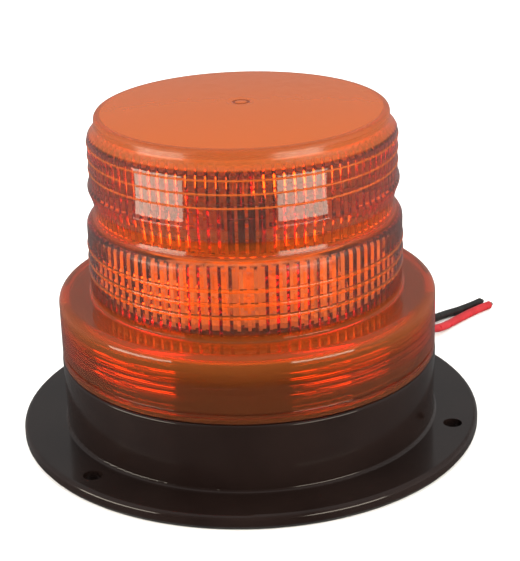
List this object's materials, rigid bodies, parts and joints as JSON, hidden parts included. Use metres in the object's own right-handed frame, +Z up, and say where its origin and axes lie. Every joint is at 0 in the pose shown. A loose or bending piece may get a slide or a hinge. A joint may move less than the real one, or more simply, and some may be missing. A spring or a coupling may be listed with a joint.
{
  "type": "led warning beacon",
  "caption": "Amber LED warning beacon: black bolt-down base with threaded neck, screw-on fluted dome lens, LED tower and driver inside, two flying leads.",
  "frame": {"origin": "centre of the mounting gasket's underside, on the lens axis", "axes": "+Z up along the lens axis, -Y towards the viewer, +X to the viewer's right, flying leads to the rear right"},
  "size_m": [0.1627, 0.1585, 0.1041],
  "materials": {
    "black_plastic": "polished moulding",
    "black_rubber": "matt",
    "amber_lens": "clear, polished",
    "red_pvc": "satin",
    "black_pvc": "satin",
    "tinned_copper": "tinned",
    "green_board": "solder mask",
    "white_board": "solder mask",
    "terminal_plastic": "moulded",
    "steel": "zinc plated",
    "capacitor_sleeve": "shrink sleeve",
    "ferrite": "sintered",
    "copper_wire": "enamelled",
    "fuse_body": "moulded",
    "chip_epoxy": "moulded",
    "header_plastic": "moulded",
    "bare_aluminium": "extruded",
    "led_package": "moulded",
    "vent_membrane": "porous"
  },
  "bodies": {
    "base": {"base_housing": "black_plastic", "bottom_cover": "black_plastic", "bottom_cover_screws": "steel", "cable_grommet": "black_rubber", "driver_board": "green_board", "driver_board_screws": "steel", "driver_chips": "chip_epoxy", "inductor_core": "ferrite", "inductor_winding": "copper_wire", "inner_lead_black": "black_pvc", "inner_lead_red": "red_pvc", "input_fuse": "fuse_body", "lead_black": "black_pvc", "lead_black_tip": "tinned_copper", "lead_red": "red_pvc", "lead_red_tip": "tinned_copper", "led_base_board": "white_board", "led_base_screws": "steel", "led_board_1": "white_board", "led_board_2": "white_board", "led_board_3": "white_board", "led_board_4": "white_board", "led_board_5": "white_board", "led_board_6": "white_board", "leds_1": "led_package", "leds_2": "led_package", "leds_3": "led_package", "leds_4": "led_package", "leds_5": "led_package", "leds_6": "led_package", "link_headers": "header_plastic", "link_pins": "tinned_copper", "mounting_gasket": "black_rubber", "protection_diode": "chip_epoxy", "smoothing_capacitors": "capacitor_sleeve", "terminal_block": "terminal_plastic", "terminal_screws": "steel", "top_led_board": "white_board", "top_leds": "led_package", "tower_core": "bare_aluminium", "tower_nut": "steel", "tower_screw": "steel", "tower_washer": "steel", "vent_plug": "vent_membrane"},
    "lens_seal": {"lens_seal_ring": "black_rubber"},
    "lens": {"lens": "amber_lens"}
  },
  "joints": [
    {"name": "lens_lift", "type": "slide", "parent": "base", "child": "lens_seal", "axis": [0, 0, 1], "range_m": [0, 0.0124]},
    {"name": "lens_turn", "type": "hinge", "parent": "lens_seal", "child": "lens", "pos_m": [0, 0, 0.036], "axis": [0, 0, 1], "range_deg": [0, 1980]}
  ],
  "couplings": [
    {"joint": "lens_lift", "follows": "lens_turn", "m_per_rad": 0.0003581}
  ]
}
